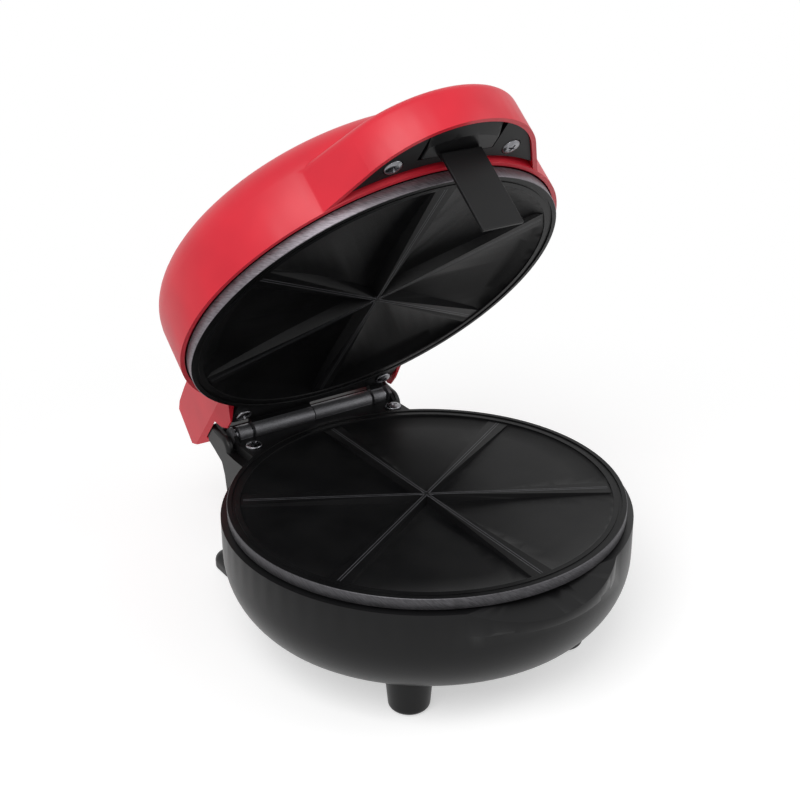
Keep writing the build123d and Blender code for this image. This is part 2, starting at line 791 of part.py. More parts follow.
def rear_foot(side):
    """Heel-shaped foot that stands out behind and beside its column."""
    floor = stand_z + pad_proud
    x, y = side * heel_x, heel_y
    heel = box(x - heel_width / 2, x + heel_width / 2, y - heel_length / 2, y + heel_length / 2,
               floor, heel_top)
    heel = fillet(heel.edges().filter_by(Axis.Z), heel_corner)
    heel = fillet(heel.edges().group_by(Axis.Z)[-1], heel_round)
    heel = fillet(heel.edges().group_by(Axis.Z)[0], heel_edge)
    stem_x = side * heel_screw_x
    stem = box(stem_x - heel_stem, stem_x + heel_stem, heel_screw_y - heel_stem_depth,
               heel_screw_y + heel_stem_depth, heel_top - heel_round, rear_floor)
    solid = heel + stem - base_envelope()
    return one(solid - foot_bore(stem_x, heel_screw_y))


def foot_pads():
    floor = stand_z + pad_proud
    pads = []
    for x, y, top in foot_bosses():
        pads.append(cylinder(pad_r, stand_z, floor + pad_thick, x, y))
    return group(pads)


def foot_screws():
    seat = stand_z + pad_proud + pad_thick + foot_seat
    screws = []
    for x, y, top in foot_bosses():
        screws.append(screw(x, y, seat, -1, top + foot_grip - seat))
    return group(screws)


def cover_screw_group():
    return group([screw(x, y, bowl_floor_z, -1, cover_post) for x, y in cover_screw_places()])


def lower_plate_screws():
    seat = -flange_drop
    return group([screw(side * flange_screw_x, lower_screw_y, seat, 1, flange_thick + screw_bite)
                  for side in (-1, 1)])


def cord_gland():
    """Bush that the mains cord passes through, in the rear wall."""
    inside = rear_y - shell
    axis_plane = Plane.XZ.offset(-(inside - gland_depth))
    body = extrude(axis_plane * Pos(0, gland_z) * Circle(gland_r), -(gland_depth + shell + gland_flange_h))
    flange_plane = Plane.XZ.offset(-rear_y)
    flange = extrude(flange_plane * Pos(0, gland_z) * Circle(gland_flange_r), -gland_flange_h)
    flange = fillet(flange.edges().group_by(Axis.Y)[-1], 1.2)
    bore_plane = Plane.XZ.offset(-(inside - gland_depth - 1))
    bore = extrude(bore_plane * Pos(0, gland_z) * Circle(gland_bore_r), -4 * gland_depth)
    nut_plane = Plane.XZ.offset(-(inside - gland_nut_h))
    nut = extrude(nut_plane * Pos(0, gland_z) * RegularPolygon(gland_nut_r, 6), -gland_nut_h)
    return one(body + flange + nut - bore)


def terminal_block():
    """Ceramic block with three wire entries, on the floor of the rear block."""
    low = rear_floor + shell
    y = terminal_y
    block = box(-block_length / 2, block_length / 2, y - block_depth / 2, y + block_depth / 2,
                low, low + block_height)
    for index in range(3):
        x = (index - 1) * wire_pitch
        block -= Pos(x, y, low + wire_height) * Rot(90, 0, 0) * Cylinder(lead_r + 0.2, block_depth + 2)
        block -= cylinder(clamp_r, low + clamp_floor, low + block_height + 1, x, y)
    return one(block)


def bent_lead(*points):
    """Insulated wire through the points, with round bends."""
    path = FilletPolyline(*points, radius=lead_bend)
    start = Plane(origin=path @ 0, z_dir=path % 0)
    return sweep(start * Circle(lead_r), path)


def base_leads():
    """Leads from the terminal block to the heater's two cold ends."""
    low = rear_floor + shell + wire_height
    y = terminal_y - block_depth / 2
    end_x, end_y = leg_places()[0]
    end_z = -plate_depth - seat_gap - element_tube_r - element_leg - terminal_length - seat_gap
    leads = []
    for side in (-1, 1):
        x = side * wire_pitch
        leads.append(bent_lead(
            (x, y + 4, low), (x, y - 14, low), (side * end_x, end_y, low),
            (side * end_x, end_y, end_z)))
    return group(leads)


# ------------------------------------------------------------------------------ lid

def lid_outline(inset, bottom):
    """Half section of the domed lid, moved inwards by inset."""
    side_r = skirt_r - inset
    centre_r = skirt_r - shoulder_r
    centre_z = skirt_top
    lean = radians(shoulder_turn)
    round_r = shoulder_r - inset
    shoulder = (centre_r + round_r * cos(lean), centre_z + round_r * sin(lean))
    middle = (centre_r + round_r * cos(lean / 2), centre_z + round_r * sin(lean / 2))
    arc = ThreePointArc((side_r, centre_z), middle, shoulder)
    top = (0, dome_top - inset)
    crown = TangentArc(top, shoulder, tangent=(1, 0))
    sides = Polyline(top, (0, bottom), (side_r, bottom), (side_r, centre_z))
    return [arc, crown, sides]


def block_polygon(inset):
    """Side view of a rear block, closed lid, before the hinge hollow is cut."""
    angle = radians(block_face_angle)
    face = (cos(angle), sin(angle))
    side = (-sin(angle) * inset, cos(angle) * inset)
    near = (hinge_y + side[0], hinge_z + side[1])
    far = (near[0] + block_reach * face[0], near[1] + block_reach * face[1])
    back_y = hinge_y + block_back
    return [
        (block_start_y, block_top_z - inset), (hinge_y + 14, block_top_z - 2.8 - inset),
        (back_y - 9 - inset * 0.4, block_top_z - 4.2 - inset),
        (back_y - 3 - inset, block_top_z - 6.8 - inset),
        (back_y - inset, hinge_z + 17.6 + inset * 0.5), (far[0] - inset * 0.7, far[1]), near,
        (hinge_y - 4, block_bottom_z + inset), (block_slope_y, block_bottom_z + inset),
        (block_slope_y - 15, skirt_bottom + inset), (block_start_y, skirt_bottom + inset)]


def block_solid(inset):
    """Pair of rear blocks; inset 0 is the outside, shell the hollow."""
    x_low, x_high = block_in + inset, block_half - inset
    solid = side_prism(block_polygon(inset), x_low, x_high)
    slope = block_crease_in / (block_crease_z - block_bottom_z)
    crease = block_crease_z + inset * 0.5
    run = block_crease_in + slope * 10
    corner = Polyline((x_high, crease), (x_high + 10, crease), (x_high + 10, crease - 30),
                      (x_high - run, crease - run / slope), close=True)
    face = Plane.XZ.offset(-block_start_y + 12) * make_face(corner)
    solid -= extrude(face, block_start_y - 12 - hinge_y - 2 * block_back)
    solid -= cylinder(bowl_r + inset, -5, skirt_bottom + inset)
    return both_sides(solid)


def hood_solid(inset):
    """Rear of the lid between the blocks, above the hinge flange."""
    low = upper_face + flange_thick + hood_gap
    half = block_in + 1.0 + inset
    return side_prism(
        [(flange_front_y, low + inset), (hood_y - inset, low + inset), (hood_y - inset, hood_top - inset),
         (hood_y - 4 - inset, hood_top + 4 - inset), (flange_front_y, block_top_z - inset)], -half, half)


def visor_plan(inset):
    """Plan of the handle visor: round front, flared sides, hollow corners at the skirt."""
    lean = asin((visor_y - visor_flare_y) / visor_r)
    along, out = Vector(sin(lean), cos(lean)), Vector(cos(lean), -sin(lean))
    start = Vector(0, visor_y) + out * visor_r
    # The corner's centre lies crease_r off the side and off the skirt.
    first = start + out * crease_r
    reach = skirt_r + crease_r - crease_bite
    across = first.dot(along)
    run = -across - sqrt(across ** 2 - first.dot(first) + reach ** 2)
    centre = first + along * run
    radius = crease_r + inset
    leave, meet = centre - out * radius, centre - centre.normalized() * radius
    bend = centre - (out + centre.normalized()).normalized() * radius
    flare = start - out * inset
    front_y = visor_y - (visor_r - inset)
    edges = [ThreePointArc((-flare.X, flare.Y), (0, front_y), (flare.X, flare.Y))]
    for side in (-1, 1):
        edges.append(Line((side * flare.X, flare.Y), (side * leave.X, leave.Y)))
        edges.append(ThreePointArc((side * leave.X, leave.Y), (side * bend.X, bend.Y),
                                   (side * meet.X, meet.Y)))
        edges.append(Line((side * meet.X, meet.Y), (side * (meet.X - 5), meet.Y + 25)))
    edges.append(Line((5 - meet.X, meet.Y + 25), (meet.X - 5, meet.Y + 25)))
    return edges


def visor_solid(inset):
    """Handle visor; inset 0 is the outside, shell the hollow."""
    bottom = visor_bottom if inset == 0 else visor_bottom - 5
    solid = plan_prism(visor_plan(inset), bottom, dome_top - 2)
    front_y = visor_y - visor_r
    rise = skirt_r
    cutter = side_prism(
        [(front_y - 5, visor_front_top - 5 * visor_slope - inset),
         (front_y + rise, visor_front_top + rise * visor_slope - inset),
         (front_y + rise, dome_top + 30), (front_y - 5, dome_top + 30)], -1.5 * visor_r, 1.5 * visor_r)
    solid -= cutter
    top = [edge for edge in solid.edges()
           if edge.center().Z > visor_front_top - inset - 2 and edge.center().Y < visor_y + 5]
    return fillet(top, visor_round - inset * 0.6)


def lid_housing():
    """Dome, skirt, handle visor and rear blocks in one moulding."""
    outer = turned(lid_outline(0, skirt_bottom))
    inner = turned(lid_outline(shell, skirt_bottom - 1))
    visor = visor_solid(0) - cylinder(skirt_r - 1, 0, skirt_bottom)
    outer += visor + block_solid(0) + hood_solid(0)
    inner += visor_solid(shell) - cylinder(skirt_r, 0, skirt_top - 5)
    inner += block_solid(shell) + hood_solid(shell)
    inner -= swing_space(shell)
    body = outer - inner - swing_space(0)
    low = upper_face + flange_thick + hood_gap
    body -= box(-block_in, block_in, flange_front_y, hinge_y - 1, 0, low)
    for side in (-1, 1):
        x = side * flange_screw_x
        body += cylinder(boss_r, low, low + screw_boss_h, x, upper_screw_y)
        body -= cylinder(screw_r + screw_play, low - 1, low + screw_boss_h - boss_floor, x, upper_screw_y)
    for x, y in insert_screw_places():
        top = insert_bottom + insert_thick
        body += cylinder(insert_boss_r, top, visor_front_top + visor_round, x, y) & outer
        body -= cylinder(screw_r + screw_play, top - 1, top + insert_screw_length + boss_floor, x, y)
    for x in (-lamp_x, lamp_x):
        body -= cylinder(lamp_r + lamp_gap, skirt_top + 10, dome_top + 10, x, lamp_y)
    return one(body)


def insert_screw_places():
    return [(-insert_screw_x, insert_screw_y), (insert_screw_x, insert_screw_y)]


def handle_insert():
    """Crescent that closes the visor from below, with ears for the latch pin."""
    low, high = insert_bottom, insert_bottom + insert_thick
    plate = plan_prism(visor_plan(shell + insert_gap), low, high)
    plate -= cylinder(insert_inner_r, low - 1, high + 1)
    plate -= box(-skirt_r, skirt_r, visor_y + 1.5, 0, low - 1, high + 1)
    plate -= box(-insert_window_half, insert_window_half, insert_window_front, insert_window_back,
                 low - 1, high + 1)
    ear = box(insert_window_half, insert_window_half + ear_thick, latch_y - ear_width / 2,
              latch_y + ear_width / 2, low, latch_z + 3.0)
    plate += both_sides(ear)
    plate -= cross_cylinder(latch_pin_r, -visor_r, visor_r, latch_y, latch_z)
    for x, y in insert_screw_places():
        plate -= cylinder(screw_r + screw_play, low - 1, high + 1, x, y)
        plate -= cylinder(screw_head_r + insert_gap, low - 1, low + insert_screw_sink, x, y)
    return one(plate)


def handle_screws():
    seat = insert_bottom + insert_screw_sink
    return group([screw(x, y, seat, -1, insert_screw_length) for x, y in insert_screw_places()])


def latch_pin():
    end = insert_window_half + ear_thick
    return one(cross_cylinder(latch_pin_r, -end, end, latch_y, latch_z))


def latch():
    """Finger tab, neck, strap and hook, turning on the latch pin."""
    cone = Cone(tab_low_r, tab_rim_r, tab_rim_z - tab_bottom)
    cone = Pos(0, tab_centre_y, (tab_bottom + tab_rim_z) / 2) * cone
    tab = cone + cylinder(tab_rim_r, tab_rim_z, tab_top, 0, tab_centre_y)
    tab &= box(-tab_half, tab_half, -tab_rim_r + tab_centre_y, tab_back_y, tab_bottom, tab_top)
    tab &= cylinder(visor_r - shell - tab_play, tab_bottom, tab_top, 0, visor_y)
    inner_y = strap_outer_y + strap_thick
    neck = box(-strap_half, strap_half, strap_outer_y + neck_step, inner_y + neck_step,
               strap_top - 3, tab_bottom + 2)
    strap = box(-strap_half, strap_half, strap_outer_y, inner_y, strap_bottom, strap_top)
    hook = side_prism(
        [(inner_y, hook_top), (inner_y + hook_depth, hook_top),
         (inner_y, hook_top - hook_height)], -hook_half, hook_half)
    solid = tab + neck + strap + hook
    solid -= cross_cylinder(latch_pin_r + pin_clearance, -visor_r, visor_r, latch_y, latch_z)
    spring_room = box(-spring_room_half, spring_room_half, latch_y - 4.2, latch_y + 5,
                      latch_z - 3.4, tab_top + 1)
    return one(solid - spring_room)


def latch_spring():
    """Torsion spring round the latch pin."""
    length = spring_turns * spring_pitch
    coil = Helix(pitch=spring_pitch, height=length, radius=latch_pin_r + spring_play + spring_wire_r)
    section = Plane(origin=coil @ 0, z_dir=coil % 0) * Circle(spring_wire_r)
    spring = sweep(section, coil, is_frenet=True)
    return one(Pos(-length / 2, latch_y, latch_z) * Rot(0, 90, 0) * spring)


def pilot_lamp(side):
    """Lens and stem of a pilot lamp, through the top of the lid."""
    crown_z = lid_height(hypot(lamp_x, lamp_y))
    lens = cylinder(lamp_r, crown_z - lamp_length, crown_z + lamp_proud, side * lamp_x, lamp_y)
    lens = fillet(lens.edges().group_by(Axis.Z)[-1], lamp_round)
    top = crown_z - shell - lamp_collar
    collar = cylinder(lamp_r + lamp_collar, top - lamp_collar_h, top, side * lamp_x, lamp_y)
    return one(lens + collar)


def lid_height(radius):
    """Height of the dome's outside at a radius."""
    centre_r = skirt_r - shoulder_r
    lean = radians(shoulder_turn)
    edge_r = centre_r + shoulder_r * cos(lean)
    drop = dome_top - (skirt_top + shoulder_r * sin(lean))
    crown_r = (edge_r ** 2 + drop ** 2) / (2 * drop)
    return dome_top - crown_r + sqrt(crown_r ** 2 - radius ** 2)


def upper_plate_screws():
    seat = rim_gap + flange_drop
    return group([screw(side * flange_screw_x, upper_screw_y, seat, -1, flange_thick + screw_bite)
                  for side in (-1, 1)])


# --------------------------------------------------------------------------- assembly

base_parts = {
    "base_housing": base_housing,
    "base_bottom_cover": base_bottom_cover,
    "bottom_cover_screws": cover_screw_group,
    "front_left_foot": lambda: front_foot(-1),
    "front_right_foot": lambda: front_foot(1),
    "rear_left_foot": lambda: rear_foot(-1),
    "rear_right_foot": lambda: rear_foot(1),
    "foot_pads": foot_pads,
    "foot_screws": foot_screws,
    "lower_plate": lower_plate,
    "lower_plate_screws": lower_plate_screws,
    "lower_heating_element": lambda: heating_element(),
    "lower_heat_pan": lambda: heat_pan(),
    "lower_pan_screws": lambda: group(pan_screws()),
    "lower_thermostat": lambda: thermostat(),
    "lower_thermal_fuse": lambda: thermal_fuse(),
    "terminal_block": terminal_block,
    "cord_gland": cord_gland,
    "base_leads": base_leads,
    "hinge_pin": hinge_pin,
}

lid_parts = {
    "lid_housing": lid_housing,
    "upper_plate": upper_plate,
    "upper_plate_screws": upper_plate_screws,
    "upper_heating_element": lambda: one(to_upper(heating_element())),
    "upper_heat_pan": lambda: one(to_upper(heat_pan())),
    "upper_pan_screws": lambda: group([to_upper(piece) for piece in pan_screws()]),
    "upper_thermostat": lambda: one(to_upper(thermostat())),
    "upper_thermal_fuse": lambda: one(to_upper(thermal_fuse())),
    "handle_insert": handle_insert,
    "handle_screws": handle_screws,
    "latch_pin": latch_pin,
    "latch": latch,
    "latch_spring": latch_spring,
    "power_lamp": lambda: pilot_lamp(-1),
    "ready_lamp": lambda: pilot_lamp(1),
}

open_lid = Pos(0, hinge_y, hinge_z) * Rot(-open_angle, 0, 0) * Pos(0, -hinge_y, -hinge_z)

parts = {name: make() for name, make in base_parts.items()}
parts.update({name: open_lid * make() for name, make in lid_parts.items()})

extent = Compound(children=[shape.moved(Location()) for shape in parts.values()]).bounding_box()
origin_y = (extent.min.Y + extent.max.Y) / 2
to_row = Pos(0, -origin_y, -stand_z)

if __name__ == "__main__":
    os.makedirs("parts", exist_ok=True)
    for name, shape in parts.items():
        export_step(to_row * shape, f"parts/{name}.step")
    print("origin behind the plate axis:", round(origin_y, 3))
    print("hinge axis at y, z:", round(hinge_y - origin_y, 3), round(hinge_z - stand_z, 3))
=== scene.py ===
"""Finishes and small details of a countertop quesadilla maker, over its CAD frame."""

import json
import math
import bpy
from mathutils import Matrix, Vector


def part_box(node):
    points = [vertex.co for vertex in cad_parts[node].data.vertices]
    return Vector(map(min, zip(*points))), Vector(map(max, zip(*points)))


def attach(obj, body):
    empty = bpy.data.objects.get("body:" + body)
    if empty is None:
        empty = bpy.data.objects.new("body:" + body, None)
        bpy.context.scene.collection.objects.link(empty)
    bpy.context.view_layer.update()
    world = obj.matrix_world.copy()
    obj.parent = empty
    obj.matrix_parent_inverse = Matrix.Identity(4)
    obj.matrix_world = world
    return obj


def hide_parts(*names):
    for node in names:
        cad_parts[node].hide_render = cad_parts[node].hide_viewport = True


bl_info = {
    "name": "Quesadilla Maker",
    "version": (1, 0, 0),
    "blender": (4, 5, 0),
    "location": "View3D > Sidebar > Quesadilla Maker",
    "description": "Moulded, cast and plated finishes for a hinged quesadilla maker",
    "category": "Object",
}

import bmesh
import bpy
from bpy.props import FloatProperty, FloatVectorProperty, IntProperty, PointerProperty
from mathutils import Matrix, Vector

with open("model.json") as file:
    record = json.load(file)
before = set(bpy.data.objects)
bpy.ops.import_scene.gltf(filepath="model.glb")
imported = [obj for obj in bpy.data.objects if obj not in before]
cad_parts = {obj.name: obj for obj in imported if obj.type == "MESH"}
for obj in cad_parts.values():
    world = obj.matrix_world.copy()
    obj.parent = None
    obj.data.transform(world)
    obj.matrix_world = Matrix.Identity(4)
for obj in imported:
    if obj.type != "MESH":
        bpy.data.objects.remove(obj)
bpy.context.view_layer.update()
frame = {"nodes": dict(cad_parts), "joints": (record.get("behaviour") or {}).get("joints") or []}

MM = 0.001
JOINTS = {joint["name"]: joint for joint in frame["joints"]}
HINGE = Vector(JOINTS["lid_hinge"]["pos_m"])
LID_ANGLE = -math.radians(JOINTS["lid_hinge"]["range_deg"][0])
PLATE_LOW, PLATE_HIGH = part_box("lower_plate")
PLATE_RADIUS = (PLATE_HIGH.x - PLATE_LOW.x) / 2
RIM_ABOVE_HINGE = 1.0 * MM
PLATE_CENTRE = Vector((0.0, PLATE_LOW.y + PLATE_RADIUS, HINGE.z + RIM_ABOVE_HINGE))
RIB_COUNT = 6
RIBS_END = 0.92 * PLATE_RADIUS     # the ribs run out at this radius
BAND_END = 0.62 * PLATE_RADIUS     # the turned band ends here, before the hinge flange
WHITE = (1.0, 1.0, 1.0, 1.0)


def linear(code):
    """Linear colour from an sRGB hex code."""
    values = [int(code[place:place + 2], 16) / 255 for place in (1, 3, 5)]
    return tuple(v / 12.92 if v <= 0.04045 else ((v + 0.055) / 1.055) ** 2.4 for v in values)


def colour(name, description, code):
    return FloatVectorProperty(
        name=name, description=description, subtype="COLOR", size=3, min=0.0, max=1.0,
        default=linear(code))


def length(name, description, millimetres):
    return FloatProperty(
        name=name, description=description, unit="LENGTH", min=0.0, precision=5,
        default=millimetres * MM)


# ------------------------------------------------------------------------- settings

class MouldingSettings(bpy.types.PropertyGroup):
    lid: colour("Lid", "Colour of the moulded lid", "#D42032")
    lid_deep: colour("Lid, deep", "Redder tone in the lid's colour variation", "#C91B2E")
    base: colour("Base", "Colour of the moulded base, feet and latch", "#0F0F10")
    grain: length("Grain", "Size of the spark-eroded grain on the mouldings", 0.5)
    waviness: length("Waviness", "Spacing of the faint sink marks in the walls", 22.0)
    edge: length("Edge", "Rounding on the edges of the mouldings", 0.6)


class CastingSettings(bpy.types.PropertyGroup):
    coating: colour("Coating", "Colour of the non-stick coating", "#0C0C0D")
    # Painted highlight: light grey drawn along the rib edges, where light glints on them
    burnished: colour("Rib highlight", "Colour of the coating along the rib edges", "#66666A")
    # One bare turned metal on both rims, painted lighter on the upper plate as painted light and
    # darker on the lower plate as painted shade
    lit_upper_rim: colour("Upper rim", "Bare metal on the upper plate's turned rim", "#8E888E")
    shaded_lower_rim: colour("Lower rim", "Bare metal on the lower plate's turned rim", "#626164")
    cast: colour("Barrels", "Colour of the rough cast hinge barrels", "#77777A")
    tool_mark: length("Tool mark", "Spacing of the diagonal marks on the turned rim", 0.9)
    cast_grain: length("Cast grain", "Size of the grain under the coating", 0.45)
    band: length("Band", "Width of the turned edge, measured inwards", 0.35)
    barrel: length("Barrel", "Radius round the hinge axis that has no coating", 5.5)
    rib: length("Rib", "Width of the flat top of a rib", 1.5)
    # Width of the painted highlight line along each rib edge
    rib_edge: length("Rib edge", "Width of the burnished line along a rib's edge", 0.35)


class FittingSettings(bpy.types.PropertyGroup):
    plating: colour("Plating", "Colour of the zinc-plated screws and pins", "#8A8A8E")
    sheath: colour("Sheath", "Colour of the heater's steel sheath", "#6E6862")
    reflector: colour("Reflector", "Colour of the aluminised reflector sheet", "#B9B9B6")
    power_lens: colour("Power lens", "Colour of the power lamp's lens", "#C01A1A")
    ready_lens: colour("Ready lens", "Colour of the ready lamp's lens", "#1F9440")
    head_segments: IntProperty(
        name="Head segments", description="Sides of each turned screw head", default=48, min=12)


class StageSettings(bpy.types.PropertyGroup):
    azimuth: FloatProperty(
        name="Azimuth", description="Camera's direction, to the right of the front",
        subtype="ANGLE", default=math.radians(-33.39))
    elevation: FloatProperty(
        name="Elevation", description="Camera's height above the horizon", subtype="ANGLE",
        default=math.radians(24.36))
    roll: FloatProperty(
        name="Roll", description="Camera's tilt", subtype="ANGLE", default=math.radians(-0.42))
    distance: length("Distance", "From the plate's centre to the camera", 779.3)
    side: length("Side step", "Camera's step along its own right", 14.68)
    lift: length("Lift", "Camera's step along its own up", 50.72)
    lens: FloatProperty(
        name="Lens", description="Focal length in millimetres, on a 36 mm sensor", default=63.4)
    floor: colour("Floor", "Colour of the floor", "#D6D6D6")
    floor_glow: FloatProperty(
        name="Floor glow", default=0.50,
        description="White that the camera sees in the floor besides its shading")
    clear_from: length(
        "Shadow reach", "Radius from which the floor turns to plain white", 260.0)
    key_power: FloatProperty(
        name="Key light", description="Power of the large soft light at the left", default=13.0)
    fill_power: FloatProperty(
        name="Fill light", description="Power of the soft light at the right", default=4.0)
    world_strength: FloatProperty(
        name="Surroundings", description="Strength of the pale surroundings", default=0.38)


# ---------------------------------------------------------------------- node helpers

def add_node(tree, kind, settings=None, inputs=None):
    """Add a node, set its properties, and fill or link its inputs."""
    node = tree.nodes.new(kind)
    for name, value in (settings or {}).items():
        setattr(node, name, value)
    for key, value in (inputs or {}).items():
        if isinstance(value, bpy.types.NodeSocket):
            tree.links.new(value, node.inputs[key])
        else:
            node.inputs[key].default_value = value
    return node


def new_material(name, base=None, metallic=0.0, roughness=0.4, ior=None):
    """Material with one Principled shader; returns it with its tree and its shader."""
    material = bpy.data.materials.new(name)
    material.use_nodes = True
    tree = material.node_tree
    tree.nodes.clear()
    shader = add_node(tree, "ShaderNodeBsdfPrincipled", inputs={
        "Metallic": metallic, "Roughness": roughness})
    if base is not None:
        shader.inputs["Base Color"].default_value = (*base, 1.0)
    if ior is not None:
        shader.inputs["IOR"].default_value = ior
    add_node(tree, "ShaderNodeOutputMaterial", inputs={"Surface": shader.outputs[0]})
    return material, tree, shader


def scaled(values, factor):
    return tuple(factor * value for value in values)


def raised(values, step):
    return tuple(value + step for value in values)


def maths(tree, operation, first, second=0.0, third=0.0):
    """Math node with up to three inputs, each a socket or a number."""
    node = add_node(tree, "ShaderNodeMath", {"operation": operation}, {
        0: first, 1: second, 2: third})
    return node.outputs[0]


def blend_colour(tree, factor, first, second):
    """Mix two colours, each a socket or a linear triple."""
    node = add_node(tree, "ShaderNodeMix", {"data_type": "RGBA"}, {0: factor})
    for index, value in ((6, first), (7, second)):
        if isinstance(value, bpy.types.NodeSocket):
            tree.links.new(value, node.inputs[index])
        else:
            node.inputs[index].default_value = (*value, 1.0)
    return node.outputs[2]


def noise(tree, vector, size, detail=2.0, rough=0.5):
    """Noise whose features are about size metres across."""
    node = add_node(tree, "ShaderNodeTexNoise", None, {
        "Vector": vector, "Scale": 1.0 / size, "Detail": detail, "Roughness": rough})
    return node.outputs[0]


def spread(tree, value, low, high):
    """Map 0..1 noise, which stays near 0.5, onto low..high."""
    node = add_node(tree, "ShaderNodeMapRange", None, {
        0: value, 1: 0.3, 2: 0.7, 3: low, 4: high})
    return node.outputs[0]


def coloured(tree, shader, factor, first, second):
    """Base colour of a shader, mixed from two."""
    tree.links.new(blend_colour(tree, factor, first, second), shader.inputs["Base Color"])


def roughened(tree, shader, value, low, high):
    """Roughness of a shader, spread over a range."""
    tree.links.new(spread(tree, value, low, high), shader.inputs["Roughness"])


def bumped(tree, shader, height, distance):
    """Relief in the shader's normal, distance metres deep."""
    node = add_node(tree, "ShaderNodeBump", None, {"Height": height, "Distance": distance})
    tree.links.new(node.outputs[0], shader.inputs["Normal"])


def object_coordinates(tree):
    return add_node(tree, "ShaderNodeTexCoord").outputs["Object"]


# ------------------------------------------------------------------------- materials

def satin_abs(name, light, deep, settings, roughness, ior):
    """ABS, injection moulded in a spark-eroded tool.

    It gives the eye a broad soft highlight with no sharp reflection, a hair of grain
    close up and slow ripples where the walls shrank. The index is set below the 1.54 of
    plain ABS, because the grained skin of the object shows less sheen than that.
    """
    material, tree, shader = new_material(name, roughness=roughness, ior=ior)
    place = object_coordinates(tree)
    ripple = noise(tree, place, settings.waviness, detail=1.0)
    grain = noise(tree, place, settings.grain, detail=3.0)
    coloured(tree, shader, spread(tree, ripple, 0.0, 1.0), light, deep)
    roughened(tree, shader, grain, roughness - 0.03, roughness + 0.03)
    height = maths(tree, "MULTIPLY_ADD", ripple, 6.0, grain)
    bumped(tree, shader, height, 0.012 * MM)
    return material


def plate_place(tree, upper):
    """Coordinates in the frame of a plate: its axis is Z and its rim lies at Z = 0."""
    place = object_coordinates(tree)
    if upper:
        place = add_node(tree, "ShaderNodeVectorRotate", {"rotation_type": "X_AXIS"}, {
            "Vector": place, "Center": HINGE, "Angle": LID_ANGLE}).outputs[0]
    return add_node(tree, "ShaderNodeVectorMath", {"operation": "SUBTRACT"}, {
        0: place, 1: PLATE_CENTRE}).outputs[0]


def hypotenuse(tree, first, second):
    """Distance from two offsets at right angles."""
    return maths(tree, "SQRT", maths(tree, "MULTIPLY_ADD", first, first, maths(
        tree, "MULTIPLY", second, second)))


def turned_marks(tree, settings, angle, height):
    """Noise drawn out along slanting lines round the rim, as a lathe tool leaves it."""
    around = maths(tree, "MULTIPLY", angle, PLATE_RADIUS)
    along = maths(tree, "ADD", around, maths(tree, "MULTIPLY", height, 1.2))
    across = maths(tree, "SUBTRACT", height, maths(tree, "MULTIPLY", around, 0.3))
    place = add_node(tree, "ShaderNodeCombineXYZ", None, {
        0: maths(tree, "DIVIDE", along, settings.tool_mark),
        1: maths(tree, "DIVIDE", across, 5 * settings.tool_mark)}).outputs[0]
    return add_node(tree, "ShaderNodeTexNoise", None, {
        "Vector": place, "Scale": 1.0, "Detail": 4.0, "Roughness": 0.65}).outputs[0]


def rib_lines(tree, settings, angle, radius):
    """1 along both edges of each rib, else 0; the first rib lies half a well from +X."""
    # Mask of the painted highlight along the rib edges
    half_well = math.pi / RIB_COUNT
    folded = maths(tree, "PINGPONG", maths(tree, "ADD", angle, half_well), half_well)
    away = maths(tree, "MULTIPLY", radius, maths(tree, "SINE", folded))
    from_edge = maths(tree, "ABSOLUTE", maths(tree, "SUBTRACT", away, settings.rib / 2))
    return maths(tree, "LESS_THAN", from_edge, settings.rib_edge / 2)


